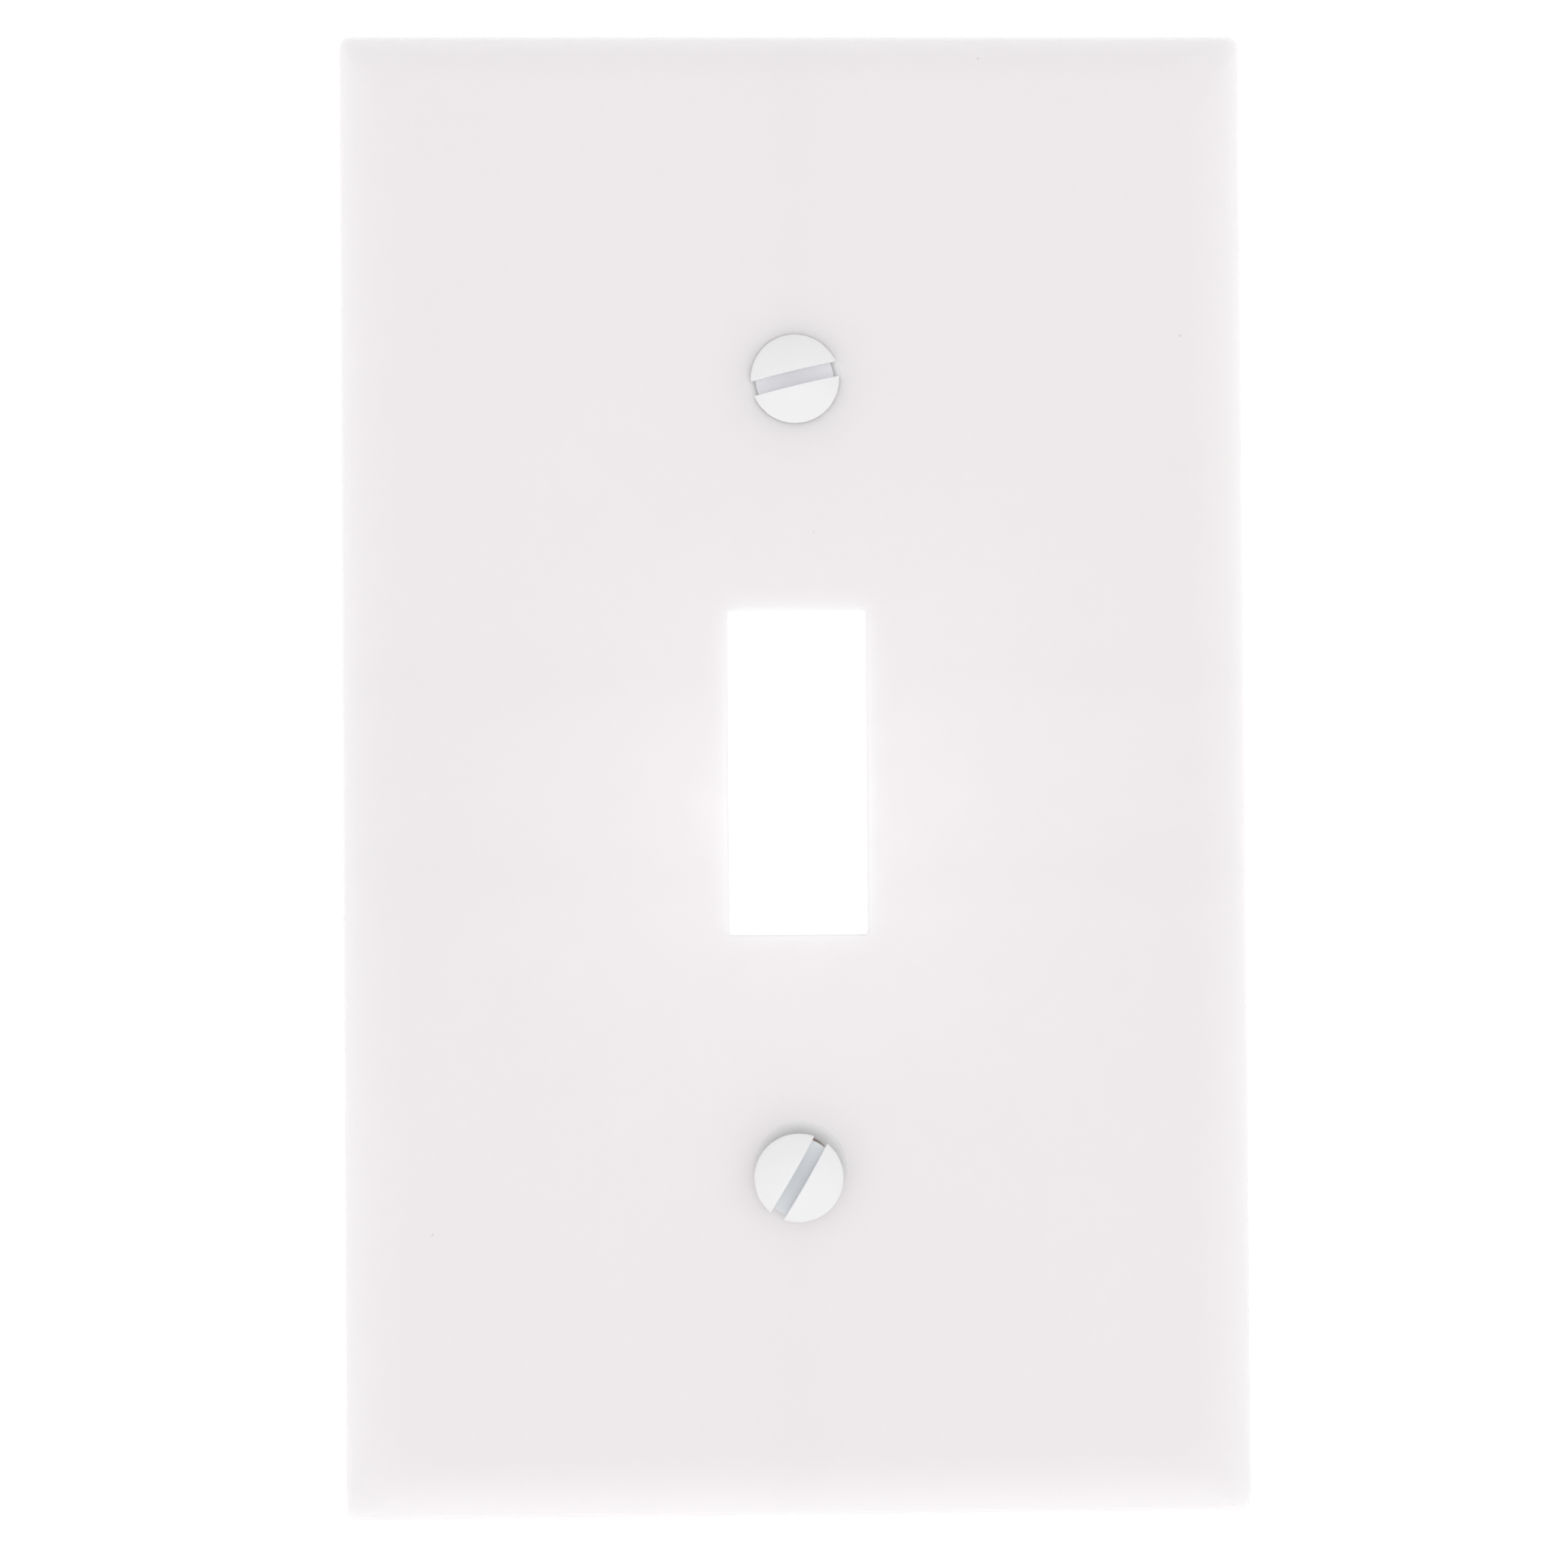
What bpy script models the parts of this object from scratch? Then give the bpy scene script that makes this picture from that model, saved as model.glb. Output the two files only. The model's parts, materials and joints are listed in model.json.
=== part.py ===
"""Single-gang wall plate for a toggle switch, with its two slotted oval-head screws.

Frame: metres, +Z up. The front of the plate looks along -Y and the wall is the plane
y = 0. The origin is on the wall plane, midway between the two screws.
"""

import math

import bmesh
import bpy

# Plate
PLATE_WIDTH = 0.06985
PLATE_HEIGHT = 0.1143
PLATE_DEPTH = 0.0056
CORNER_RADIUS = 0.0009
FACE_CORNER_RADIUS = 0.0029
SIDE_HEIGHT = 0.0013
SIDE_DRAFT = 0.00004
EDGE_INSET = 0.0044
FOOT_CHAMFER = 0.00015
RIM_THICKNESS = 0.0020
HOLLOW_DEPTH = 0.0033
HOLLOW_FILLET = 0.0010
HOLLOW_CORNER_RADIUS = 0.0012

# Toggle opening and the collar behind it
OPENING_WIDTH = 0.01055
OPENING_HEIGHT = 0.02475
OPENING_CORNER_RADIUS = 0.0003
OPENING_LIP_RADIUS = 0.00015
COLLAR_WALL = 0.0013
COLLAR_REAR = -0.0021

# Screw holes and the bosses behind them
SCREW_SPACING = 0.060325
COUNTERSINK_MOUTH_RADIUS = 0.00348
COUNTERSINK_HALF_ANGLE = math.radians(41)
COUNTERSINK_LIP = 0.00006
BORE_RADIUS = 0.00245
BOSS_RADIUS = 0.0053
BOSS_DRAFT = 0.0003
BOSS_REAR = -0.0022

# Stiffening ribs on the back of the face
RIB_THICKNESS = 0.0010
RIB_REAR = -0.0026
SIDE_RIB_HEIGHT = 0.0075

# Machine screws, No. 6-32 x 1/2 in, slotted oval head
HEAD_RADIUS = 0.00337
HEAD_EDGE = 0.00012
CROWN_HEIGHT = 0.00085
THREAD_MAJOR_RADIUS = 0.001725
THREAD_PITCH = 0.000794
THREAD_ROOT_RADIUS = 0.00131
CONE_END_RADIUS = 0.00155
NECK_LENGTH = 0.0003
SCREW_LENGTH = 0.0127
TIP_LENGTH = 0.00035
TIP_RADIUS = 0.00095
SLOT_WIDTH = 0.00115
SLOT_BELOW_EDGE = 0.00055

# Captive discs on the screw threads
RETAINER_RADIUS = 0.0040
RETAINER_BORE_RADIUS = 0.00185
RETAINER_THICKNESS = 0.0005
RETAINER_CHAMFER = 0.0001

# Rest positions: the top screw is seated, the bottom one stands proud and leans
TOP_HEAD_PROUD = 0.0001
TOP_SLOT_ANGLE = math.radians(13.3)
TOP_RETAINER_SLACK = 0.0015
BOTTOM_HEAD_PROUD = 0.00115
BOTTOM_SLOT_ANGLE = math.radians(60)
BOTTOM_LEAN_DOWN = math.radians(4.5)
BOTTOM_LEAN_LEFT = math.radians(1.0)
BOTTOM_RETAINER_SLACK = 0.0011
BOTTOM_OFFSET_LEFT = 0.00008
BOTTOM_OFFSET_DOWN = 0.0003

# Mesh fineness
CORNER_STEPS = 6
EDGE_STEPS = 8
FILLET_STEPS = 4
LIP_STEPS = 3
TURNED_STEPS = 48
THREAD_COLUMNS = 30
CROWN_RINGS = 4

CUTTER_OVERRUN = 0.001

# One thread turn as (share of the pitch, height as a share of the thread depth)
THREAD_PROFILE = ((0.0, 0.0), (9 / 30, 1.0), (13 / 30, 1.0), (22 / 30, 0.0))


def clear_scene():
    for item in list(bpy.data.objects):
        bpy.data.objects.remove(item, do_unlink=True)


def new_collection(name):
    collection = bpy.data.collections.new(name)
    bpy.context.scene.collection.children.link(collection)
    return collection


def new_material(name, colour, roughness, metallic=0.0):
    material = bpy.data.materials.new(name)
    material.use_nodes = True
    shader = material.node_tree.nodes["Principled BSDF"]
    shader.inputs["Base Color"].default_value = (*colour, 1.0)
    shader.inputs["Roughness"].default_value = roughness
    shader.inputs["Metallic"].default_value = metallic
    material.diffuse_color = (*colour, 1.0)
    return material


def new_object(name, mesh, collection, parent=None):
    item = bpy.data.objects.new(name, mesh)
    collection.objects.link(item)
    item.parent = parent
    return item


def new_axis(name, collection, location, rotation):
    """An empty whose local +Z is a screw's axis, pointing out of the wall."""
    axis = bpy.data.objects.new(name, None)
    axis.empty_display_size = 0.005
    axis.location = location
    axis.rotation_euler = rotation
    collection.objects.link(axis)
    return axis


def mark_as_cutter(item):
    item.hide_render = True
    item.display_type = "WIRE"


def add_boolean(target, cutter, operation):
    modifier = target.modifiers.new(cutter.name, "BOOLEAN")
    modifier.operation = operation
    modifier.solver = "EXACT"
    modifier.object = cutter


def finish_mesh(item, material, sharp_angle):
    item.data.materials.append(material)
    item.data.shade_smooth()
    item.data.set_sharp_from_angle(angle=sharp_angle)


def rounded_rectangle(width, height, radius, y):
    """Points of one rounded rectangle in the plane y, anticlockwise from the front."""
    points = []
    for corner in range(4):
        side_x = 1 if corner in (0, 3) else -1
        side_z = 1 if corner in (0, 1) else -1
        centre_x = side_x * (width / 2 - radius)
        centre_z = side_z * (height / 2 - radius)
        for step in range(CORNER_STEPS + 1):
            angle = (corner + step / CORNER_STEPS) * math.pi / 2
            x = centre_x + radius * math.cos(angle)
            z = centre_z + radius * math.sin(angle)
            points.append((x, y, z))
    return points


def loft_mesh(name, rings):
    """A closed solid through rings of equally many points, with a flat face at each end."""
    bm = bmesh.new()
    levels = [[bm.verts.new(point) for point in ring] for ring in rings]
    count = len(rings[0])
    for near, far in zip(levels, levels[1:]):
        for i in range(count):
            j = (i + 1) % count
            bm.faces.new((near[i], near[j], far[j], far[i]))
    bm.faces.new(levels[0])
    bm.faces.new(levels[-1])
    bmesh.ops.recalc_face_normals(bm, faces=bm.faces)
    mesh = bpy.data.meshes.new(name)
    bm.to_mesh(mesh)
    bm.free()
    return mesh


def plate_ring(inset, y):
    share = inset / EDGE_INSET
    radius = CORNER_RADIUS + share * (FACE_CORNER_RADIUS - CORNER_RADIUS)
    return rounded_rectangle(PLATE_WIDTH - 2 * inset, PLATE_HEIGHT - 2 * inset, radius, y)


def plate_body_mesh():
    """The outside of the plate: a short straight side, then an elliptical edge to the face."""
    rings = [
        plate_ring(FOOT_CHAMFER, 0.0),
        plate_ring(0.0, -FOOT_CHAMFER),
    ]
    edge_drop = PLATE_DEPTH - SIDE_HEIGHT
    for step in range(EDGE_STEPS + 1):
        angle = step / EDGE_STEPS * math.pi / 2
        inset = SIDE_DRAFT + (EDGE_INSET - SIDE_DRAFT) * (1 - math.cos(angle))
        rings.append(plate_ring(inset, -SIDE_HEIGHT - edge_drop * math.sin(angle)))
    return loft_mesh("cover_plate", rings)


def hollow_mesh():
    """The hollow back, with a fillet where the rim meets the face."""
    width = PLATE_WIDTH - 2 * RIM_THICKNESS
    height = PLATE_HEIGHT - 2 * RIM_THICKNESS
    rings = [rounded_rectangle(width, height, HOLLOW_CORNER_RADIUS, CUTTER_OVERRUN)]
    for step in range(FILLET_STEPS + 1):
        angle = step / FILLET_STEPS * math.pi / 2
        inset = HOLLOW_FILLET * (1 - math.cos(angle))
        y = -HOLLOW_DEPTH + HOLLOW_FILLET * (1 - math.sin(angle))
        radius = HOLLOW_CORNER_RADIUS + inset
        rings.append(rounded_rectangle(width - 2 * inset, height - 2 * inset, radius, y))
    return loft_mesh("hollow", rings)


def opening_mesh():
    """The toggle opening, flared at the front into a small rounded lip."""

    def ring(flare, y):
        width = OPENING_WIDTH + 2 * flare
        height = OPENING_HEIGHT + 2 * flare
        return rounded_rectangle(width, height, OPENING_CORNER_RADIUS + flare, y)

    rings = [ring(OPENING_LIP_RADIUS, -PLATE_DEPTH - CUTTER_OVERRUN)]
    for step in range(LIP_STEPS + 1):
        angle = step / LIP_STEPS * math.pi / 2
        flare = OPENING_LIP_RADIUS * (1 - math.sin(angle))
        rings.append(ring(flare, -PLATE_DEPTH + OPENING_LIP_RADIUS * (1 - math.cos(angle))))
    rings.append(ring(0.0, CUTTER_OVERRUN))
    return loft_mesh("toggle_opening", rings)


def collar_mesh():
    """The raised frame behind the face, all round the toggle opening."""
    width = OPENING_WIDTH + 2 * COLLAR_WALL
    height = OPENING_HEIGHT + 2 * COLLAR_WALL
    radius = OPENING_CORNER_RADIUS + COLLAR_WALL / 2
    front = -HOLLOW_DEPTH - CUTTER_OVERRUN
    rings = [rounded_rectangle(width, height, radius, y) for y in (front, COLLAR_REAR)]
    return loft_mesh("collar", rings)


def box_mesh(name, size, centre):
    bm = bmesh.new()
    bmesh.ops.create_cube(bm, size=1.0)
    bmesh.ops.scale(bm, vec=size, verts=bm.verts)
    bmesh.ops.translate(bm, vec=centre, verts=bm.verts)
    mesh = bpy.data.meshes.new(name)
    bm.to_mesh(mesh)
    bm.free()
    return mesh


def boss_mesh():
    """A drafted round boss along local Z, from inside the face to its rear."""
    front = HOLLOW_DEPTH + CUTTER_OVERRUN
    rear = -BOSS_REAR
    bm = bmesh.new()
    bmesh.ops.create_cone(
        bm,
        cap_ends=True,
        segments=TURNED_STEPS,
        radius1=BOSS_RADIUS,
        radius2=BOSS_RADIUS + BOSS_DRAFT,
        depth=front - rear,
    )
    bmesh.ops.translate(bm, vec=(0, 0, (front + rear) / 2), verts=bm.verts)
    mesh = bpy.data.meshes.new("boss")
    bm.to_mesh(mesh)
    bm.free()
    return mesh


def turned_object(name, profile, closed, collection, parent):
    """A profile of (radius, z) points turned round local Z with a Screw modifier."""
    bm = bmesh.new()
    points = [bm.verts.new((radius, 0.0, z)) for radius, z in profile]
    for start, end in zip(points, points[1:]):
        bm.edges.new((start, end))
    if closed:
        bm.edges.new((points[-1], points[0]))
    mesh = bpy.data.meshes.new(name)
    bm.to_mesh(mesh)
    bm.free()
    item = new_object(name, mesh, collection, parent)
    turn = item.modifiers.new("turn", "SCREW")
    turn.axis = "Z"
    turn.steps = TURNED_STEPS
    turn.render_steps = TURNED_STEPS
    turn.use_merge_vertices = True
    turn.merge_threshold = 0.000001
    turn.use_normal_calculate = False
    return item


def screw_hole_profile():
    """Countersink and clearance bore, top to bottom on the outer side."""
    lip_radius = COUNTERSINK_MOUTH_RADIUS + COUNTERSINK_LIP
    cone_drop = (COUNTERSINK_MOUTH_RADIUS - BORE_RADIUS) / math.tan(COUNTERSINK_HALF_ANGLE)
    cone_top = PLATE_DEPTH - COUNTERSINK_LIP
    return (
        (0.0, PLATE_DEPTH + CUTTER_OVERRUN),
        (lip_radius, PLATE_DEPTH + CUTTER_OVERRUN),
        (lip_radius, PLATE_DEPTH),
        (COUNTERSINK_MOUTH_RADIUS, cone_top),
        (BORE_RADIUS, cone_top - cone_drop),
        (BORE_RADIUS, -CUTTER_OVERRUN),
        (0.0, -CUTTER_OVERRUN),
    )


def retainer_profile():
    """A flat disc with chamfered edges, its front face at z = 0."""
    outer = RETAINER_RADIUS
    inner = RETAINER_BORE_RADIUS
    rear = -RETAINER_THICKNESS
    cut = RETAINER_CHAMFER
    return (
        (inner + cut, 0.0),
        (outer - cut, 0.0),
        (outer, -cut),
        (outer, rear + cut),
        (outer - cut, rear),
        (inner + cut, rear),
        (inner, rear + cut),
        (inner, -cut),
    )


def head_rings():
    """Radius and height of the plain rings from the crown to the start of the thread."""
    sphere = (HEAD_RADIUS**2 + CROWN_HEIGHT**2) / (2 * CROWN_HEIGHT)
    rings = []
    for ring in range(1, CROWN_RINGS + 1):
        radius = HEAD_RADIUS * ring / CROWN_RINGS
        height = math.sqrt(sphere**2 - radius**2) - (sphere - CROWN_HEIGHT)
        rings.append((radius, height))
    cone_drop = (HEAD_RADIUS - CONE_END_RADIUS) / math.tan(COUNTERSINK_HALF_ANGLE)
    rings.append((HEAD_RADIUS, -HEAD_EDGE))
    rings.append((CONE_END_RADIUS, -HEAD_EDGE - cone_drop))
    rings.append((THREAD_ROOT_RADIUS, -HEAD_EDGE - cone_drop - NECK_LENGTH))
    return rings


def thread_radius(height_share, z, top, bottom):
    """The thread fades out over one pitch at the head and over half a pitch at the tip."""
    fade = min(1.0, (top - z) / THREAD_PITCH, (z - bottom) / (0.5 * THREAD_PITCH))
    depth = THREAD_MAJOR_RADIUS - THREAD_ROOT_RADIUS
    return THREAD_ROOT_RADIUS + depth * height_share * fade


def screw_mesh(name):
    """A screw along local Z with its head's edge at z = 0 and a right-hand helical thread."""
    bm = bmesh.new()
    columns = THREAD_COLUMNS

    def ring(radius, z):
        verts = []
        for column in range(columns):
            angle = 2 * math.pi * column / columns
            verts.append(bm.verts.new((radius * math.cos(angle), radius * math.sin(angle), z)))
        return verts

    def join(upper, lower):
        for i in range(columns):
            j = (i + 1) % columns
            bm.faces.new((upper[i], lower[i], lower[j], upper[j]))

    # Head, from the crown down to the neck
    head = [ring(radius, z) for radius, z in head_rings()]
    crown = bm.verts.new((0.0, 0.0, CROWN_HEIGHT))
    for i in range(columns):
        bm.faces.new((crown, head[0][i], head[0][(i + 1) % columns]))
    for upper, lower in zip(head, head[1:]):
        join(upper, lower)

    # Tip, a short cone with a flat end
    top = head_rings()[-1][1]
    bottom = TIP_LENGTH - SCREW_LENGTH
    thread_top = head[-1]
    thread_bottom = ring(THREAD_ROOT_RADIUS, bottom)
    tip = ring(TIP_RADIUS, -SCREW_LENGTH)
    join(thread_bottom, tip)
    bm.faces.new(list(reversed(tip)))

    # Thread: rows follow the helix, so each row meets itself one pitch further on
    row_count = len(THREAD_PROFILE) * (math.ceil((top - bottom) / THREAD_PITCH) + 2)
    made = {}

    def thread_vertex(row, column):
        if column == columns:
            row -= len(THREAD_PROFILE)
            column = 0
        turn, place = divmod(row, len(THREAD_PROFILE))
        share, height_share = THREAD_PROFILE[place]
        z = top + THREAD_PITCH * (1 - turn - share + column / columns)
        if z >= top - 1e-9:
            return thread_top[column]
        if z <= bottom + 1e-9:
            return thread_bottom[column]
        if (row, column) not in made:
            radius = thread_radius(height_share, z, top, bottom)
            angle = 2 * math.pi * column / columns
            place = (radius * math.cos(angle), radius * math.sin(angle), z)
            made[row, column] = bm.verts.new(place)
        return made[row, column]

    for row in range(row_count):
        for column in range(columns):
            corners = []
            for vertex in (
                thread_vertex(row, column),
                thread_vertex(row + 1, column),
                thread_vertex(row + 1, column + 1),
                thread_vertex(row, column + 1),
            ):
                if vertex not in corners:
                    corners.append(vertex)
            if len(corners) > 2:
                bm.faces.new(corners)

    bmesh.ops.recalc_face_normals(bm, faces=bm.faces)
    mesh = bpy.data.meshes.new(name)
    bm.to_mesh(mesh)
    bm.free()
    return mesh


def build_plate(parts, cutters, material, hole_axes):
    plate = new_object("cover_plate", plate_body_mesh(), parts)
    hollow = new_object("hollow", hollow_mesh(), cutters)
    collar = new_object("collar", collar_mesh(), cutters)
    opening = new_object("toggle_opening", opening_mesh(), cutters)
    added = [collar]
    removed = [opening]

    rib_front = -HOLLOW_DEPTH - CUTTER_OVERRUN
    rib_depth = RIB_REAR - rib_front
    rib_y = (RIB_REAR + rib_front) / 2
    wall_x = PLATE_WIDTH / 2 - RIM_THICKNESS
    wall_z = PLATE_HEIGHT / 2 - RIM_THICKNESS
    collar_x = OPENING_WIDTH / 2 + COLLAR_WALL / 2
    overlap = RIM_THICKNESS / 4
    for side in (-1, 1):
        length = wall_x - collar_x + overlap
        centre_x = side * (wall_x + collar_x + overlap) / 2
        for z in (-SIDE_RIB_HEIGHT, SIDE_RIB_HEIGHT):
            size = (length, rib_depth, RIB_THICKNESS)
            mesh = box_mesh("side_rib", size, (centre_x, rib_y, z))
            added.append(new_object("side_rib", mesh, cutters))
        near_z = SCREW_SPACING / 2 + BOSS_RADIUS - overlap
        length = wall_z - near_z + overlap
        size = (RIB_THICKNESS, rib_depth, length)
        centre_z = side * (wall_z + near_z + overlap) / 2
        mesh = box_mesh("end_rib", size, (0.0, rib_y, centre_z))
        added.append(new_object("end_rib", mesh, cutters))

    boss = boss_mesh()
    for axis in hole_axes:
        added.append(new_object("boss", boss, cutters, axis))
        removed.append(turned_object("screw_hole", screw_hole_profile(), False, cutters, axis))

    mark_as_cutter(hollow)
    add_boolean(plate, hollow, "DIFFERENCE")
    for item in added:
        mark_as_cutter(item)
        add_boolean(plate, item, "UNION")
    for item in removed:
        mark_as_cutter(item)
        add_boolean(plate, item, "DIFFERENCE")
    finish_mesh(plate, material, math.radians(35))


def build_screw(name, parts, cutters, material, axis, head_z, slot_angle):
    screw = new_object(name, screw_mesh(name), parts, axis)
    screw.location = (0.0, 0.0, head_z)
    slot_top = CROWN_HEIGHT + CUTTER_OVERRUN
    size = (4 * HEAD_RADIUS, SLOT_WIDTH, slot_top + SLOT_BELOW_EDGE)
    centre = (0.0, 0.0, (slot_top - SLOT_BELOW_EDGE) / 2)
    slot = new_object(name + "_slot", box_mesh("slot", size, centre), cutters, axis)
    slot.location = (0.0, 0.0, head_z)
    slot.rotation_euler = (0.0, 0.0, slot_angle)
    mark_as_cutter(slot)
    add_boolean(screw, slot, "DIFFERENCE")
    finish_mesh(screw, material, math.radians(35))


def build_retainer(name, parts, material, axis, front_z):
    retainer = turned_object(name, retainer_profile(), True, parts, axis)
    retainer.location = (0.0, 0.0, front_z)
    finish_mesh(retainer, material, math.radians(35))


def main():
    clear_scene()
    parts = new_collection("wall_plate_cover")
    cutters = new_collection("cutters")

    plate_white = new_material("white_thermoplastic", (0.83, 0.81, 0.82), 0.38)
    screw_white = new_material("white_painted_steel", (0.86, 0.86, 0.87), 0.32)
    bottom_white = new_material("white_painted_steel_bottom", (0.86, 0.86, 0.87), 0.32)
    nylon = new_material("natural_nylon", (0.72, 0.72, 0.70), 0.45)
    bottom_nylon = new_material("natural_nylon_bottom", (0.72, 0.72, 0.70), 0.45)

    # Local +Z of every axis points out of the wall, and local +Y points up
    facing_out = math.pi / 2
    half_spacing = SCREW_SPACING / 2
    top_axis = new_axis("top_hole_axis", parts, (0, 0, half_spacing), (facing_out, 0, 0))
    low_axis = new_axis("bottom_hole_axis", parts, (0, 0, -half_spacing), (facing_out, 0, 0))
    build_plate(parts, cutters, plate_white, (top_axis, low_axis))

    top_head = PLATE_DEPTH + TOP_HEAD_PROUD
    boss_rear = -BOSS_REAR
    build_screw("top_screw", parts, cutters, screw_white, top_axis, top_head, TOP_SLOT_ANGLE)
    build_retainer("top_retainer", parts, nylon, top_axis, boss_rear - TOP_RETAINER_SLACK)

    # The loose screw hangs a little below the middle of its hole and leans on the countersink
    pivot_height = boss_rear - BOTTOM_RETAINER_SLACK
    leaning_axis = new_axis(
        "bottom_screw_axis",
        parts,
        (-BOTTOM_OFFSET_LEFT, -pivot_height, -half_spacing - BOTTOM_OFFSET_DOWN),
        (facing_out + BOTTOM_LEAN_DOWN, 0, -BOTTOM_LEAN_LEFT),
    )
    lean_share = math.cos(BOTTOM_LEAN_DOWN) * math.cos(BOTTOM_LEAN_LEFT)
    low_head = (PLATE_DEPTH + BOTTOM_HEAD_PROUD - pivot_height) / lean_share
    build_screw(
        "bottom_screw", parts, cutters, bottom_white, leaning_axis, low_head, BOTTOM_SLOT_ANGLE
    )
    build_retainer("bottom_retainer", parts, bottom_nylon, leaning_axis, 0.0)
    bpy.context.view_layer.update()


main()
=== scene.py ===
"""Look of the single-gang toggle wall plate: fine meshes, materials, light and camera."""

import json
import math

import bmesh
import bpy
from mathutils import Euler, Matrix, Vector


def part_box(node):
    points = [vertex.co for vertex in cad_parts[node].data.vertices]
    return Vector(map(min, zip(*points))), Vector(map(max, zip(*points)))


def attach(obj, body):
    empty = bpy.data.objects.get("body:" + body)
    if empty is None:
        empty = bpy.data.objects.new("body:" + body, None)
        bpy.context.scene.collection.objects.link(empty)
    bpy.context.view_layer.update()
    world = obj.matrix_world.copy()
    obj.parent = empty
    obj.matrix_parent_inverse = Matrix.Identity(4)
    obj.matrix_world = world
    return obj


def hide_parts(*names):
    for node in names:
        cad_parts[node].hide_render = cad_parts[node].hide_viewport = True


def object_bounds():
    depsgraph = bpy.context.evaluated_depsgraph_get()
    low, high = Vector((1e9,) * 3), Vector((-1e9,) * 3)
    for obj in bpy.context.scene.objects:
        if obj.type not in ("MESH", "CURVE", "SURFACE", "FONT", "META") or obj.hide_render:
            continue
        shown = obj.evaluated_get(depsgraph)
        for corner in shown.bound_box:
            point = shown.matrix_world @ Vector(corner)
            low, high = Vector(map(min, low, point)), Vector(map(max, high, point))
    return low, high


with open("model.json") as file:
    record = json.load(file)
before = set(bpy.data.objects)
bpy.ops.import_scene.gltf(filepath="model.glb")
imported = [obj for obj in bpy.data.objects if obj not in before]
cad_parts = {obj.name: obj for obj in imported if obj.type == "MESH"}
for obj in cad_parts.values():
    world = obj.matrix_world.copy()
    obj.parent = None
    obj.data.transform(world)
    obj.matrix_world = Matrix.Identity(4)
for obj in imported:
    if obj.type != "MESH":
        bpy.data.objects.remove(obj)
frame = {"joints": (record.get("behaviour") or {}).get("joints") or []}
cad_low, cad_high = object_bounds()
scene = bpy.context.scene

MM = 0.001

# Sizes that repeat the CAD model's own
EDGE_INSET = 4.4 * MM
SIDE_HEIGHT = 1.3 * MM
SIDE_DRAFT = 0.04 * MM
FOOT_CHAMFER = 0.15 * MM
CORNER_RADIUS = 0.9 * MM
FACE_CORNER_RADIUS = 4.2 * MM
RIM_THICKNESS = 2.0 * MM
HOLLOW_DEPTH = 3.3 * MM
HOLLOW_FILLET = 1.0 * MM
HOLLOW_CORNER_RADIUS = 1.2 * MM
OPENING_WIDTH = 10.55 * MM
OPENING_HEIGHT = 24.75 * MM
OPENING_CORNER_RADIUS = 0.25 * MM
OPENING_LIP_RADIUS = 0.18 * MM
COLLAR_WALL = 1.3 * MM
COLLAR_REAR = -2.1 * MM
MOUTH_RADIUS = 3.47 * MM
COUNTERSINK_LIP = 0.08 * MM
HALF_ANGLE = math.radians(41)
BORE_RADIUS = 2.45 * MM
BOSS_RADIUS = 5.3 * MM
BOSS_DRAFT = 0.3 * MM
BOSS_REAR = -2.2 * MM
EJECTOR_RADIUS = 2.0 * MM
EJECTOR_DEPTH = 0.08 * MM
EJECTOR_X = 22.5 * MM
EJECTOR_Z = 40.0 * MM
EJECTOR_EDGE = 0.05 * MM
GATE_X = 13.0 * MM
GATE_RADIUS = 0.95 * MM
GATE_HEIGHT = 0.25 * MM
OVERRUN = 0.5 * MM
RIB_THICKNESS = 1.0 * MM
RIB_REAR = -2.6 * MM
SIDE_RIB_HEIGHT = 7.5 * MM
HEAD_RADIUS = 3.40 * MM
HEAD_EDGE = 0.12 * MM
CROWN_HEIGHT = 0.85 * MM
CONE_END_RADIUS = 1.55 * MM
NECK_LENGTH = 0.3 * MM
THREAD_MAJOR = 1.725 * MM
THREAD_ROOT = 1.31 * MM
THREAD_PITCH = 0.794 * MM
SCREW_LENGTH = 12.7 * MM
TIP_LENGTH = 0.35 * MM
TIP_RADIUS = 0.95 * MM
SLOT_WIDTH = 1.15 * MM
SLOT_BELOW_EDGE = 0.55 * MM
RETAINER_RADIUS = 4.0 * MM
RETAINER_BORE = 1.85 * MM
RETAINER_THICKNESS = 0.5 * MM
TOP_HEAD_PROUD = 0.1 * MM
TOP_SLOT_ANGLE = math.radians(13.3)
TOP_RETAINER_SLACK = 1.5 * MM
BOTTOM_HEAD_PROUD = 1.15 * MM
BOTTOM_SLOT_ANGLE = math.radians(60)

# Sizes read from the loaded model
plate_low, plate_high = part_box("cover_plate")
PLATE_WIDTH = plate_high.x - plate_low.x
PLATE_HEIGHT = plate_high.z - plate_low.z
PLATE_DEPTH = plate_high.y - plate_low.y
joints = {joint["name"]: joint for joint in frame["joints"]}
TOP_Z = joints["top_screw_turn"]["pos_m"][2]
BOTTOM_Z = -TOP_Z

# Allowance when a face is looked up by its place
FIT = 0.02 * MM

# Mesh fineness
CORNER_STEPS = 16
EDGE_STEPS = 24
TURNED_STEPS = 120
THREAD_COLUMNS = 60
WELD_DISTANCE = 0.002 * MM


# Mesh helpers


def new_object(name, mesh):
    item = bpy.data.objects.new(name, mesh)
    scene.collection.objects.link(item)
    return item


def mesh_from(bm, name):
    bmesh.ops.recalc_face_normals(bm, faces=bm.faces)
    mesh = bpy.data.meshes.new(name)
    bm.to_mesh(mesh)
    bm.free()
    return mesh


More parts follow.
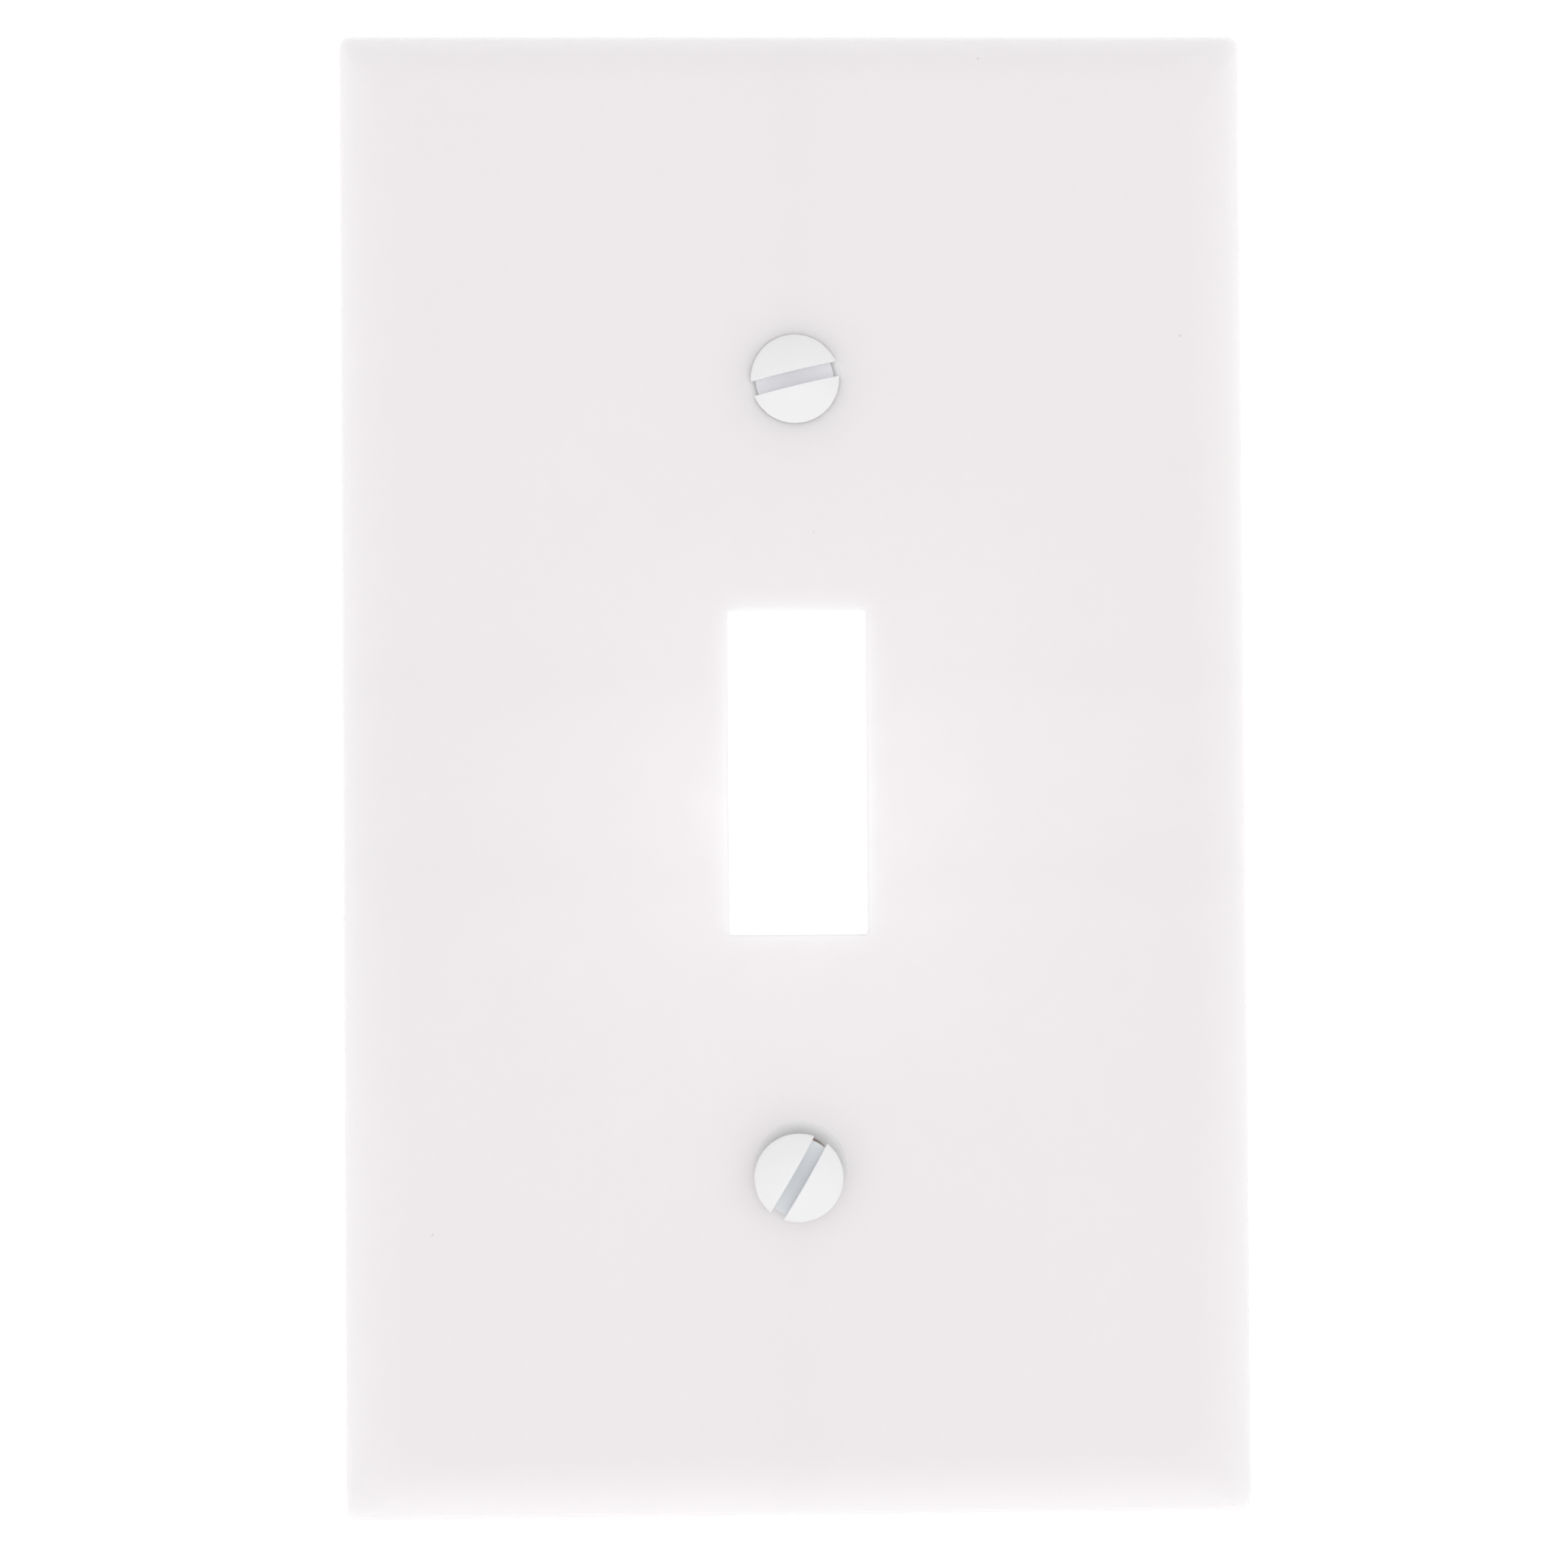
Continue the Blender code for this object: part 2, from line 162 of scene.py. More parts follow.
def rounded_rectangle(width, height, radius, y):
    points = []
    for corner in range(4):
        side_x = 1 if corner in (0, 3) else -1
        side_z = 1 if corner in (0, 1) else -1
        for step in range(CORNER_STEPS + 1):
            angle = (corner + step / CORNER_STEPS) * math.pi / 2
            x = side_x * (width / 2 - radius) + radius * math.cos(angle)
            z = side_z * (height / 2 - radius) + radius * math.sin(angle)
            points.append((x, y, z))
    return points


def loft(name, rings):
    bm = bmesh.new()
    levels = [[bm.verts.new(point) for point in ring] for ring in rings]
    count = len(rings[0])
    for near, far in zip(levels, levels[1:]):
        for i in range(count):
            j = (i + 1) % count
            bm.faces.new((near[i], near[j], far[j], far[i]))
    bm.faces.new(levels[0])
    bm.faces.new(levels[-1])
    return mesh_from(bm, name)


def box(name, size, centre):
    bm = bmesh.new()
    bmesh.ops.create_cube(bm, size=1.0)
    bmesh.ops.scale(bm, vec=size, verts=bm.verts)
    bmesh.ops.translate(bm, vec=centre, verts=bm.verts)
    return mesh_from(bm, name)


def turned(name, profile, closed, steps=TURNED_STEPS):
    """A profile of (radius, z) points turned round local Z."""
    bm = bmesh.new()
    levels = []
    for radius, z in profile:
        if radius < 1e-9:
            levels.append([bm.verts.new((0.0, 0.0, z))])
            continue
        ring = []
        for step in range(steps):
            angle = 2 * math.pi * step / steps
            ring.append(bm.verts.new((radius * math.cos(angle), radius * math.sin(angle), z)))
        levels.append(ring)
    pairs = list(zip(levels, levels[1:]))
    if closed:
        pairs.append((levels[-1], levels[0]))
    for upper, lower in pairs:
        for i in range(steps):
            j = (i + 1) % steps
            if len(upper) == 1:
                bm.faces.new((upper[0], lower[i], lower[j]))
            elif len(lower) == 1:
                bm.faces.new((upper[i], lower[0], upper[j]))
            else:
                bm.faces.new((upper[i], lower[i], lower[j], upper[j]))
    return mesh_from(bm, name)


def boolean(target, cutter, operation):
    modifier = target.modifiers.new(cutter.name, "BOOLEAN")
    modifier.operation = operation
    modifier.solver = "EXACT"
    modifier.object = cutter


def soften_edges(target, width, segments, angle):
    modifier = target.modifiers.new("soft_edges", "BEVEL")
    modifier.width = width
    modifier.segments = segments
    modifier.limit_method = "ANGLE"
    modifier.angle_limit = math.radians(angle)
    modifier.use_clamp_overlap = True
    modifier.harden_normals = False


def apply_modifiers(target):
    bpy.context.view_layer.update()
    depsgraph = bpy.context.evaluated_depsgraph_get()
    mesh = bpy.data.meshes.new_from_object(target.evaluated_get(depsgraph))
    target.modifiers.clear()
    target.data = mesh


def weld(target):
    """Merge points that coincide and drop faces without area."""
    bm = bmesh.new()
    bm.from_mesh(target.data)
    bmesh.ops.remove_doubles(bm, verts=bm.verts, dist=WELD_DISTANCE)
    bmesh.ops.dissolve_degenerate(bm, edges=bm.edges, dist=WELD_DISTANCE)
    bm.to_mesh(target.data)
    bm.free()


def discard(items):
    for item in items:
        bpy.data.objects.remove(item, do_unlink=True)


def shade(item, angle):
    item.data.shade_smooth()
    item.data.set_sharp_from_angle(angle=math.radians(angle))
    modifier = item.modifiers.new("even_normals", "WEIGHTED_NORMAL")
    modifier.mode = "FACE_AREA"
    modifier.weight = 50
    modifier.keep_sharp = True
    apply_modifiers(item)


# Plate


def plate_ring(inset, y):
    share = min(1.0, inset / EDGE_INSET)
    radius = CORNER_RADIUS + share * (FACE_CORNER_RADIUS - CORNER_RADIUS)
    return rounded_rectangle(PLATE_WIDTH - 2 * inset, PLATE_HEIGHT - 2 * inset, radius, y)


def plate_body():
    rings = [plate_ring(FOOT_CHAMFER, 0.0), plate_ring(0.0, -FOOT_CHAMFER)]
    drop = PLATE_DEPTH - SIDE_HEIGHT
    for step in range(EDGE_STEPS + 1):
        angle = step / EDGE_STEPS * math.pi / 2
        inset = SIDE_DRAFT + (EDGE_INSET - SIDE_DRAFT) * (1 - math.cos(angle))
        rings.append(plate_ring(inset, -SIDE_HEIGHT - drop * math.sin(angle)))
    rings.append(plate_ring(EDGE_INSET + 0.4 * MM, -PLATE_DEPTH))
    return loft("plate_shell", rings)


def hollow():
    width = PLATE_WIDTH - 2 * RIM_THICKNESS
    height = PLATE_HEIGHT - 2 * RIM_THICKNESS
    rings = [rounded_rectangle(width, height, HOLLOW_CORNER_RADIUS, MM)]
    for step in range(9):
        angle = step / 8 * math.pi / 2
        inset = HOLLOW_FILLET * (1 - math.cos(angle))
        y = -HOLLOW_DEPTH + HOLLOW_FILLET * (1 - math.sin(angle))
        radius = HOLLOW_CORNER_RADIUS + inset
        rings.append(rounded_rectangle(width - 2 * inset, height - 2 * inset, radius, y))
    return loft("hollow", rings)


def opening():
    def ring(flare, y):
        width = OPENING_WIDTH + 2 * flare
        height = OPENING_HEIGHT + 2 * flare
        return rounded_rectangle(width, height, OPENING_CORNER_RADIUS + flare, y)

    rings = [ring(OPENING_LIP_RADIUS, -PLATE_DEPTH - MM)]
    for step in range(7):
        angle = step / 6 * math.pi / 2
        flare = OPENING_LIP_RADIUS * (1 - math.sin(angle))
        rings.append(ring(flare, -PLATE_DEPTH + OPENING_LIP_RADIUS * (1 - math.cos(angle))))
    rings.append(ring(0.0, MM))
    return loft("opening", rings)


def screw_hole():
    lip = MOUTH_RADIUS + COUNTERSINK_LIP
    slope = math.pi / 2 - HALF_ANGLE
    arc = COUNTERSINK_LIP / math.sin(slope)
    cone_top = PLATE_DEPTH - arc * (1 - math.cos(slope))
    cone_drop = (MOUTH_RADIUS - BORE_RADIUS) / math.tan(HALF_ANGLE)
    profile = [(0.0, PLATE_DEPTH + MM), (lip, PLATE_DEPTH + MM)]
    for step in range(5):
        angle = step / 4 * slope
        radius = lip - arc * math.sin(angle)
        profile.append((radius, PLATE_DEPTH - arc * (1 - math.cos(angle))))
    profile.append((BORE_RADIUS, cone_top - cone_drop))
    profile.append((BORE_RADIUS, -MM))
    profile.append((0.0, -MM))
    return turned("screw_hole", profile, False)


def boss():
    front = HOLLOW_DEPTH + MM
    rear = -BOSS_REAR
    profile = [
        (0.0, front),
        (BOSS_RADIUS + BOSS_DRAFT, front),
        (BOSS_RADIUS, rear),
        (0.0, rear),
    ]
    return turned("boss", profile, False)


def ejector_mark():
    """The shallow round print of an ejector pin in the floor of the hollow."""
    top = HOLLOW_DEPTH + EJECTOR_DEPTH
    profile = [
        (0.0, top),
        (EJECTOR_RADIUS - EJECTOR_EDGE, top),
        (EJECTOR_RADIUS, HOLLOW_DEPTH),
        (EJECTOR_RADIUS, HOLLOW_DEPTH - OVERRUN),
        (0.0, HOLLOW_DEPTH - OVERRUN),
    ]
    return turned("ejector_mark", profile, False, 64)


def gate_stub():
    """The trimmed stub that the moulding gate leaves on the floor of the hollow."""
    rear = HOLLOW_DEPTH - GATE_HEIGHT
    profile = [
        (0.0, HOLLOW_DEPTH + OVERRUN),
        (GATE_RADIUS, HOLLOW_DEPTH + OVERRUN),
        (GATE_RADIUS, HOLLOW_DEPTH),
        (0.8 * MM, rear + 0.05 * MM),
        (0.7 * MM, rear),
        (0.25 * MM, rear + 0.02 * MM),
        (0.0, rear + 0.08 * MM),
    ]
    return turned("gate_stub", profile, False, 40)


def build_plate():
    plate = new_object("plate_shell", plate_body())
    collar_rings = []
    for y in (-HOLLOW_DEPTH - MM, COLLAR_REAR):
        width = OPENING_WIDTH + 2 * COLLAR_WALL
        height = OPENING_HEIGHT + 2 * COLLAR_WALL
        radius = OPENING_CORNER_RADIUS + COLLAR_WALL / 2
        collar_rings.append(rounded_rectangle(width, height, radius, y))
    added = [loft("collar", collar_rings)]
    rib_front = -HOLLOW_DEPTH - MM
    rib_depth = RIB_REAR - rib_front
    rib_y = (RIB_REAR + rib_front) / 2
    wall_x = PLATE_WIDTH / 2 - RIM_THICKNESS
    wall_z = PLATE_HEIGHT / 2 - RIM_THICKNESS
    collar_x = OPENING_WIDTH / 2 + COLLAR_WALL / 2
    overlap = RIM_THICKNESS / 4
    for side in (-1, 1):
        length = wall_x - collar_x + overlap
        centre_x = side * (wall_x + collar_x + overlap) / 2
        for z in (-SIDE_RIB_HEIGHT, SIDE_RIB_HEIGHT):
            size = (length, rib_depth, RIB_THICKNESS)
            added.append(box("side_rib", size, (centre_x, rib_y, z)))
        near_z = TOP_Z + BOSS_RADIUS - overlap
        length = wall_z - near_z + overlap
        size = (RIB_THICKNESS, rib_depth, length)
        centre_z = side * (wall_z + near_z + overlap) / 2
        added.append(box("end_rib", size, (0.0, rib_y, centre_z)))
    tools = []
    hollow_tool = new_object("hollow", hollow())
    boolean(plate, hollow_tool, "DIFFERENCE")
    tools.append(hollow_tool)
    for mesh in added:
        tool = new_object(mesh.name, mesh)
        boolean(plate, tool, "UNION")
        tools.append(tool)
    outward = Euler((math.pi / 2, 0, 0)).to_matrix().to_4x4()
    for z in (TOP_Z, BOTTOM_Z):
        for make, operation in ((boss, "UNION"), (screw_hole, "DIFFERENCE")):
            tool = new_object("round_tool", make())
            tool.matrix_world = Matrix.Translation((0, 0, z)) @ outward
            boolean(plate, tool, operation)
            tools.append(tool)
    opening_tool = new_object("opening", opening())
    boolean(plate, opening_tool, "DIFFERENCE")
    tools.append(opening_tool)
    for x in (-EJECTOR_X, EJECTOR_X):
        for z in (-EJECTOR_Z, 0.0, EJECTOR_Z):
            tool = new_object("ejector_mark", ejector_mark())
            tool.matrix_world = Matrix.Translation((x, 0, z)) @ outward
            boolean(plate, tool, "DIFFERENCE")
            tools.append(tool)
    gate = new_object("gate_stub", gate_stub())
    gate.matrix_world = Matrix.Translation((GATE_X, 0, 0)) @ outward
    boolean(plate, gate, "UNION")
    tools.append(gate)
    apply_modifiers(plate)
    weld(plate)
    discard(tools)
    shade(plate, 32)
    return plate


# Screws


def head_mesh(slot_angle):
    """The painted head: low crown, rounded rim and countersunk underside, with its slot."""
    sphere = (HEAD_RADIUS**2 + CROWN_HEIGHT**2) / (2 * CROWN_HEIGHT)
    profile = [(0.0, CROWN_HEIGHT)]
    for ring in range(1, 17):
        radius = (HEAD_RADIUS - 0.05 * MM) * ring / 16
        profile.append((radius, math.sqrt(sphere**2 - radius**2) - sphere + CROWN_HEIGHT))
    profile.append((HEAD_RADIUS - 0.015 * MM, -0.01 * MM))
    profile.append((HEAD_RADIUS, -0.05 * MM))
    profile.append((HEAD_RADIUS, -HEAD_EDGE + 0.03 * MM))
    profile.append((HEAD_RADIUS - 0.03 * MM, -HEAD_EDGE - 0.01 * MM))
    cone_drop = (HEAD_RADIUS - CONE_END_RADIUS) / math.tan(HALF_ANGLE)
    neck = -HEAD_EDGE - cone_drop
    profile.append((CONE_END_RADIUS, neck))
    profile.append((THREAD_ROOT, neck - NECK_LENGTH))
    profile.append((0.0, neck - NECK_LENGTH))
    head = new_object("head", turned("head", profile, False, 144))
    top = CROWN_HEIGHT + MM
    size = (4 * HEAD_RADIUS, SLOT_WIDTH, top + SLOT_BELOW_EDGE)
    slot = new_object("slot", box("slot", size, (0, 0, (top - SLOT_BELOW_EDGE) / 2)))
    slot.rotation_euler = (0, 0, slot_angle)
    boolean(head, slot, "DIFFERENCE")
    soften_edges(head, 0.045 * MM, 3, 42)
    apply_modifiers(head)
    mesh = head.data
    across = Vector((-math.sin(slot_angle), math.cos(slot_angle), 0))
    for face in mesh.polygons:
        inside = abs(face.center.dot(across)) < SLOT_WIDTH / 2 + 0.01 * MM
        # Faces in the slot take material 1, the darker enamel, a painted shade
        if inside and face.center.z > -SLOT_BELOW_EDGE - 0.01 * MM:
            face.material_index = 1
        else:
            # Faces under the rim take material 2, the lighter enamel, a painted light
            face.material_index = 2 if face.center.z < -HEAD_EDGE else 0
    discard([head, slot])
    return mesh


def thread_mesh():
    """The rolled thread, its rows following the helix, with a short cone at the tip."""
    cone_drop = (HEAD_RADIUS - CONE_END_RADIUS) / math.tan(HALF_ANGLE)
    top = -HEAD_EDGE - cone_drop - NECK_LENGTH
    bottom = TIP_LENGTH - SCREW_LENGTH
    profile = (
        (0.0, 0.0),
        (1 / 30, 0.05),
        (8 / 30, 0.93),
        (9 / 30, 1.0),
        (13 / 30, 1.0),
        (14 / 30, 0.93),
        (21 / 30, 0.05),
        (22 / 30, 0.0),
    )
    bm = bmesh.new()
    columns = THREAD_COLUMNS

    def ring(radius, z):
        verts = []
        for column in range(columns):
            angle = 2 * math.pi * column / columns
            verts.append(bm.verts.new((radius * math.cos(angle), radius * math.sin(angle), z)))
        return verts

    upper = ring(THREAD_ROOT, top)
    lower = ring(THREAD_ROOT, bottom)
    tips = [ring(TIP_RADIUS + 0.06 * MM, 0.03 * MM - SCREW_LENGTH), ring(TIP_RADIUS, -SCREW_LENGTH)]
    for near, far in ((lower, tips[0]), (tips[0], tips[1])):
        for i in range(columns):
            j = (i + 1) % columns
            bm.faces.new((near[i], far[i], far[j], near[j]))
    bm.faces.new(list(reversed(tips[1])))
    bm.faces.new(upper)
    made = {}

    def vertex(row, column):
        if column == columns:
            row -= len(profile)
            column = 0
        turn, place = divmod(row, len(profile))
        share, height = profile[place]
        z = top + THREAD_PITCH * (1 - turn - share + column / columns)
        if z >= top - 1e-9:
            return upper[column]
        if z <= bottom + 1e-9:
            return lower[column]
        if (row, column) not in made:
            fade = min(1.0, (top - z) / THREAD_PITCH, (z - bottom) / (0.5 * THREAD_PITCH))
            radius = THREAD_ROOT + (THREAD_MAJOR - THREAD_ROOT) * height * fade
            angle = 2 * math.pi * column / columns
            point = (radius * math.cos(angle), radius * math.sin(angle), z)
            made[row, column] = bm.verts.new(point)
        return made[row, column]

    rows = len(profile) * (math.ceil((top - bottom) / THREAD_PITCH) + 2)
    for row in range(rows):
        for column in range(columns):
            corners = []
            for one in (
                vertex(row, column),
                vertex(row + 1, column),
                vertex(row + 1, column + 1),
                vertex(row, column + 1),
            ):
                if one not in corners:
                    corners.append(one)
            if len(corners) > 2:
                bm.faces.new(corners)
    return mesh_from(bm, "thread")


def axis_matrix(joint, slide):
    """Local +Z along the joint's axis, local +X level, slid along the axis."""
    out = Vector(joint["axis"]).normalized()
    lean_down = math.asin(-out.z)
    lean_left = math.atan2(-out.x, -out.y)
    turn = Euler((math.pi / 2 + lean_down, 0, -lean_left)).to_matrix().to_4x4()
    return Matrix.Translation(joint["pos_m"]) @ turn @ Matrix.Translation((0, 0, slide))


def retainer_mesh():
    """A punched disc with softened edges and six short tongues round the thread."""
    outer = RETAINER_RADIUS
    inner = RETAINER_BORE
    rear = -RETAINER_THICKNESS
    cut = 0.08 * MM
    profile = [
        (inner + cut, 0.0),
        (outer - cut, 0.0),
        (outer - 0.3 * cut, -0.3 * cut),
        (outer, -cut),
        (outer, rear + cut),
        (outer - 0.3 * cut, rear + 0.3 * cut),
        (outer - cut, rear),
        (inner + cut, rear),
        (inner, rear + cut),
        (inner, -cut),
    ]
    disc = new_object("disc", turned("disc", profile, True))
    tools = []
    for index in range(6):
        angle = math.pi / 3 * index
        size = (0.44 * MM, 0.62 * MM, RETAINER_THICKNESS * 0.7)
        tongue = new_object("tongue", box("tongue", size, (inner + 0.12 * MM, 0, rear / 2)))
        tongue.rotation_euler = (0, 0, angle)
        boolean(disc, tongue, "UNION")
        tools.append(tongue)
    soften_edges(disc, 0.04 * MM, 2, 50)
    apply_modifiers(disc)
    mesh = disc.data
    discard([disc, *tools])
    return mesh


# Materials


class Nodes:
    """A material's node tree, with short calls that make and join its nodes."""

    def __init__(self, name):
        self.material = bpy.data.materials.new(name)
        self.material.use_nodes = True
        self.tree = self.material.node_tree
        self.shader = self.tree.nodes["Principled BSDF"]
        self.place = self.add("ShaderNodeTexCoord").outputs["Object"]

    def add(self, kind, **values):
        node = self.tree.nodes.new(kind)
        for name, value in values.items():
            node.inputs[name.replace("_", " ")].default_value = value
        return node

    def join(self, source, target):
        self.tree.links.new(source, target)

    def noise(self, scale, detail=3.0, roughness=0.5):
        node = self.add("ShaderNodeTexNoise", Scale=scale, Detail=detail, Roughness=roughness)
        self.join(self.place, node.inputs["Vector"])
        return node.outputs["Fac"]

    def specks(self, scale, radius, share):
        """Sparse round specks in the XZ plane: 1 inside a speck and 0 outside."""
        flat = self.tree.nodes.new("ShaderNodeMapping")
        flat.inputs["Rotation"].default_value = (math.pi / 2, 0, 0)
        self.join(self.place, flat.inputs["Vector"])
        cells = self.add("ShaderNodeTexVoronoi", Scale=scale)
        cells.voronoi_dimensions = "2D"
        self.join(flat.outputs["Vector"], cells.inputs["Vector"])
        edge = radius * scale
        near = self.ranged(cells.outputs["Distance"], 0.7, 0.0, 0.4 * edge, edge)
        parts = self.tree.nodes.new("ShaderNodeSeparateColor")
        self.join(cells.outputs["Color"], parts.inputs["Color"])
        chosen = self.ranged(parts.outputs["Red"], 1.0, 0.0, share - 0.01, share)
        both = self.tree.nodes.new("ShaderNodeMath")
        both.operation = "MULTIPLY"
        self.join(near, both.inputs[0])
        self.join(chosen, both.inputs[1])
        return both.outputs["Value"]

    def ranged(self, source, low, high, from_low=0.3, from_high=0.7):
        node = self.tree.nodes.new("ShaderNodeMapRange")
        self.join(source, node.inputs["Value"])
        node.inputs["From Min"].default_value = from_low
        node.inputs["From Max"].default_value = from_high
        node.inputs["To Min"].default_value = low
        node.inputs["To Max"].default_value = high
        return node.outputs["Result"]

    def mixed(self, factor, first, second):
        node = self.tree.nodes.new("ShaderNodeMix")
        node.data_type = "RGBA"
        self.join(factor, node.inputs["Factor"])
        for value, target in ((first, node.inputs[6]), (second, node.inputs[7])):
            if isinstance(value, tuple):
                target.default_value = (*value, 1.0)
            else:
                self.join(value, target)
        return node.outputs[2]

    def bump(self, height, distance, strength, normal=None):
        node = self.tree.nodes.new("ShaderNodeBump")
        node.inputs["Distance"].default_value = distance
        node.inputs["Strength"].default_value = strength
        self.join(height, node.inputs["Height"])
        if normal is not None:
            self.join(normal, node.inputs["Normal"])
        return node.outputs["Normal"]

    def set(self, **values):
        for name, value in values.items():
            self.shader.inputs[name.replace("_", " ")].default_value = value

    def feed(self, source, name):
        self.join(source, self.shader.inputs[name])


def moulded_plastic(name, light, gloss=(0.18, 0.23)):
    """White thermoplastic: satin gloss, faint orange peel and flow marks, slightly translucent."""
    n = Nodes(name)
    flow = n.noise(55, 4, 0.55)
    grain = n.noise(5200, 2, 0.5)
    peel = n.noise(900, 3, 0.45)
    tone = n.mixed(n.ranged(flow, 0, 1), light, tuple(part + 0.005 for part in light))
    n.feed(n.mixed(n.specks(70, 0.00012, 0.1), tone, (0.62, 0.60, 0.59)), "Base Color")
    n.feed(n.ranged(n.noise(240, 4, 0.6), *gloss), "Roughness")
    fine = n.bump(grain, 0.000003, 0.35)
    n.feed(n.bump(peel, 0.000008, 0.4, fine), "Normal")
    n.set(IOR=1.46, Subsurface_Weight=1.0, Subsurface_Scale=0.0018)
    n.shader.inputs["Subsurface Radius"].default_value = (1.0, 1.0, 1.0)
    return n.material


def white_enamel(name, light):
    """Baked white enamel, slightly cloudy."""
    n = Nodes(name)
    cloud = n.noise(420, 4, 0.6)
    tone = n.mixed(n.ranged(cloud, 0, 1), light, tuple(part + 0.012 for part in light))
    n.feed(tone, "Base Color")
    n.feed(n.ranged(n.noise(1500, 3, 0.6), 0.3, 0.38), "Roughness")
    fine = n.bump(n.noise(6500, 2, 0.5), 0.000001, 0.3)
    n.feed(n.bump(n.noise(700, 2, 0.4), 0.000004, 0.2, fine), "Normal")
    n.set(IOR=1.5, Coat_Weight=0.15, Coat_Roughness=0.12)
    return n.material


def zinc_plate():
    """Bright zinc on the rolled thread, with dull patches and a fine grain."""
    n = Nodes("zinc_plated_steel")
    patch = n.noise(900, 5, 0.65)
    tone = n.mixed(n.ranged(patch, 0, 1), (0.34, 0.35, 0.38), (0.56, 0.57, 0.60))
    n.feed(tone, "Base Color")
    n.feed(n.ranged(n.noise(2600, 4, 0.6), 0.22, 0.42), "Roughness")
    n.feed(n.bump(n.noise(9000, 3, 0.6), 0.000004, 0.5), "Normal")
    n.set(Metallic=1.0)
    return n.material


def natural_nylon():
    """Milky nylon with a slightly mottled matt skin."""
    n = Nodes("natural_nylon")
    cloud = n.noise(700, 4, 0.6)
    tone = n.mixed(n.ranged(cloud, 0, 1), (0.62, 0.60, 0.54), (0.71, 0.69, 0.63))
    n.feed(tone, "Base Color")
    n.feed(n.ranged(n.noise(2200, 3, 0.6), 0.38, 0.55), "Roughness")
    n.feed(n.bump(n.noise(4200, 3, 0.55), 0.000008, 0.5), "Normal")
    n.set(IOR=1.53, Subsurface_Weight=0.4, Subsurface_Scale=0.001)
    return n.material


def pale_floor():
    n = Nodes("pale_floor")
    tone = n.mixed(n.ranged(n.noise(14, 3, 0.5), 0, 1), (0.90, 0.90, 0.90), (0.93, 0.93, 0.93))
    n.feed(tone, "Base Color")
    n.set(Roughness=0.75, Emission_Strength=0.2)
    n.shader.inputs["Emission Color"].default_value = (1.0, 1.0, 1.0, 1.0)
    return n.material


# The object

# The one resin in three tones: lighter inside the openings and countersinks as painted light, and
# darker and duller behind as painted shade on a matt finish
plastic = moulded_plastic("white_moulded_plastic", (0.838, 0.816, 0.822))
# A lighter copy of the resin on the walls of the opening and countersinks: painted light where they
# lie in shade
painted_light_plastic = moulded_plastic("white_plastic_painted_light_in_openings", (0.98, 0.97, 0.975))
# A darker copy of the resin on the back and in the hollow: painted shade, with a matt roughness
painted_shade_back_plastic = moulded_plastic("matt_plastic_painted_shade_behind", (0.72, 0.70, 0.705), (0.38, 0.5))
enamel = white_enamel("white_enamel", (0.872, 0.868, 0.878))
# A lighter copy of the enamel under the heads: painted light in the shaded gap of the countersink
painted_light_under_enamel = white_enamel("white_enamel_painted_light_under_heads", (0.96, 0.955, 0.96))
# Darker, bluer copies of the enamel in the slots: painted shade, darker in the bottom slot
painted_shade_slot_enamel = {
    "top": white_enamel("enamel_painted_shade_in_top_slot", (0.863, 0.862, 0.888)),
    "bottom": white_enamel("enamel_painted_shade_in_bottom_slot", (0.79, 0.812, 0.832)),
}
zinc = zinc_plate()
nylon = natural_nylon()

plate = build_plate()
plate.data.materials.clear()
plate.data.materials.append(plastic)
plate.data.materials.append(painted_light_plastic)
plate.data.materials.append(painted_shade_back_plastic)
for face in plate.data.polygons:
    spot = face.center
    from_screw = min(math.hypot(spot.x, spot.z - z) for z in (TOP_Z, BOTTOM_Z))
    in_opening = abs(spot.x) < OPENING_WIDTH / 2 + FIT and abs(spot.z) < OPENING_HEIGHT / 2 + FIT
    in_hollow = (
        abs(spot.x) < PLATE_WIDTH / 2 - RIM_THICKNESS + FIT
        and abs(spot.z) < PLATE_HEIGHT / 2 - RIM_THICKNESS + FIT
        and spot.y > -HOLLOW_DEPTH - EJECTOR_DEPTH - FIT
    )
    in_countersink = BORE_RADIUS + FIT < from_screw < MOUTH_RADIUS and face.normal.y < -0.1
    # Walls of the opening and countersinks take the lighter copy, a painted light
    if abs(face.normal.y) < 0.9 and (in_opening or in_countersink):
        face.material_index = 1
    # Faces turned back and in the hollow take the darker copy, a painted shade
    elif face.normal.y > 0.9 or in_hollow and from_screw > BORE_RADIUS + FIT:
        face.material_index = 2
    else:
        face.material_index = 0
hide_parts("cover_plate")
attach(plate, "plate")


def place(name, mesh, matrix, materials, node, body, angle):
    item = new_object(name, mesh)
    item.data.transform(matrix)
    kinds = [face.material_index for face in item.data.polygons]
    item.data.materials.clear()
    for material in materials:
        item.data.materials.append(material)
    item.data.polygons.foreach_set("material_index", kinds)
    shade(item, angle)
    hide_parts(node)
    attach(item, body)


def build_screw(prefix, head_slide, slot_angle, retainer_slide):
    joint = joints[prefix + "_screw_turn"]
    head_place = axis_matrix(joint, head_slide)
    screw = prefix + "_screw"
    body = screw + "_body"
    # Enamel, the slot's darker enamel (painted shade) and the lighter enamel under the head
    # (painted light)
    paints = [enamel, painted_shade_slot_enamel[prefix], painted_light_under_enamel]
    place(screw + "_head", head_mesh(slot_angle), head_place, paints, screw, body, 38)
    place(screw + "_thread", thread_mesh(), head_place, [zinc], screw, body, 50)
    retainer = prefix + "_retainer"
    disc_place = axis_matrix(joint, retainer_slide)
    disc_body = retainer + "_body"
    place(retainer + "_disc", retainer_mesh(), disc_place, [nylon], retainer, disc_body, 38)


